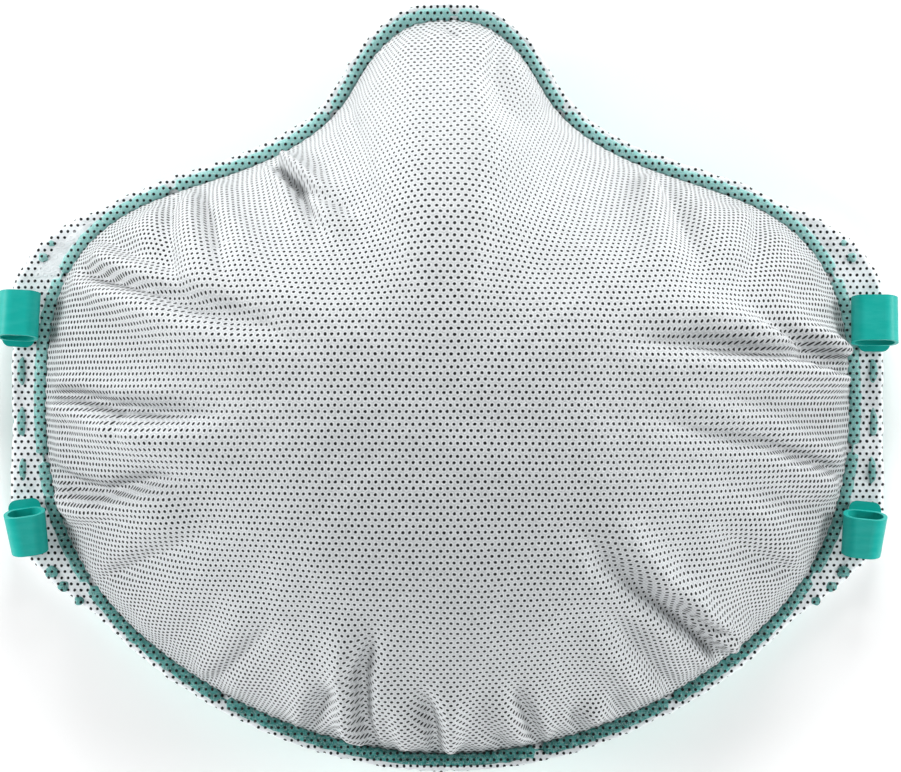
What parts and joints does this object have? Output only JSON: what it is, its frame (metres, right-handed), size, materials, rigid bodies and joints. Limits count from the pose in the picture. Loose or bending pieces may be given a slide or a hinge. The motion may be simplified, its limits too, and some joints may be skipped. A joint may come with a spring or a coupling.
{
  "type": "disposable dust mask",
  "caption": "Cup-shaped disposable dust mask with a dotted net cover, a welded teal edge bead, side tabs and open strap guides.",
  "frame": {"origin": "middle of the mask's bounding box in plan, at the height of the table it lies on", "axes": "+Z out of the front of the mask, +Y to the nose, +X to the right seen from the front"},
  "size_m": [0.15, 0.1272, 0.0508],
  "materials": {
    "net": "fine printed-dot net, matt",
    "cover_fabric": "white spunbond, matt",
    "filter_fabric": "soft white felt",
    "shell": "moulded stiff fibre",
    "lining": "smooth white",
    "clip_metal": "satin",
    "foam": "soft open foam",
    "teal_weld": "welded, slightly rough",
    "teal_plastic": "satin moulded",
    "seal_rubber": "soft matt"
  },
  "bodies": {
    "mask": {"outer_net": "net", "outer_cover": "cover_fabric", "prefilter_layer": "filter_fabric", "filter_media": "filter_fabric", "support_shell": "shell", "inner_lining": "lining", "nose_clip": "clip_metal", "nose_foam": "foam", "pressed_edge": "cover_fabric", "weld_bead": "teal_weld", "net_margin": "net", "corner_weld_spots": "teal_weld", "face_seal": "seal_rubber"},
    "left_tab": {"left_tab_fabric": "cover_fabric", "left_tab_strip": "teal_plastic", "left_weld_spots": "teal_weld", "left_upper_strap_guide": "teal_plastic", "left_lower_strap_guide": "teal_plastic"},
    "right_tab": {"right_tab_fabric": "cover_fabric", "right_tab_strip": "teal_plastic", "right_weld_spots": "teal_weld", "right_upper_strap_guide": "teal_plastic", "right_lower_strap_guide": "teal_plastic"}
  },
  "joints": [
    {"name": "left_tab_flex", "type": "hinge", "parent": "mask", "child": "left_tab", "pos_m": [-0.06905, 0, 0.0034], "axis": [0, -1, 0], "range_deg": [0, 28], "stiffness_Nm_per_rad": 0.004},
    {"name": "right_tab_flex", "type": "hinge", "parent": "mask", "child": "right_tab", "pos_m": [0.06905, 0, 0.0034], "axis": [0, 1, 0], "range_deg": [0, 28], "stiffness_Nm_per_rad": 0.004}
  ]
}
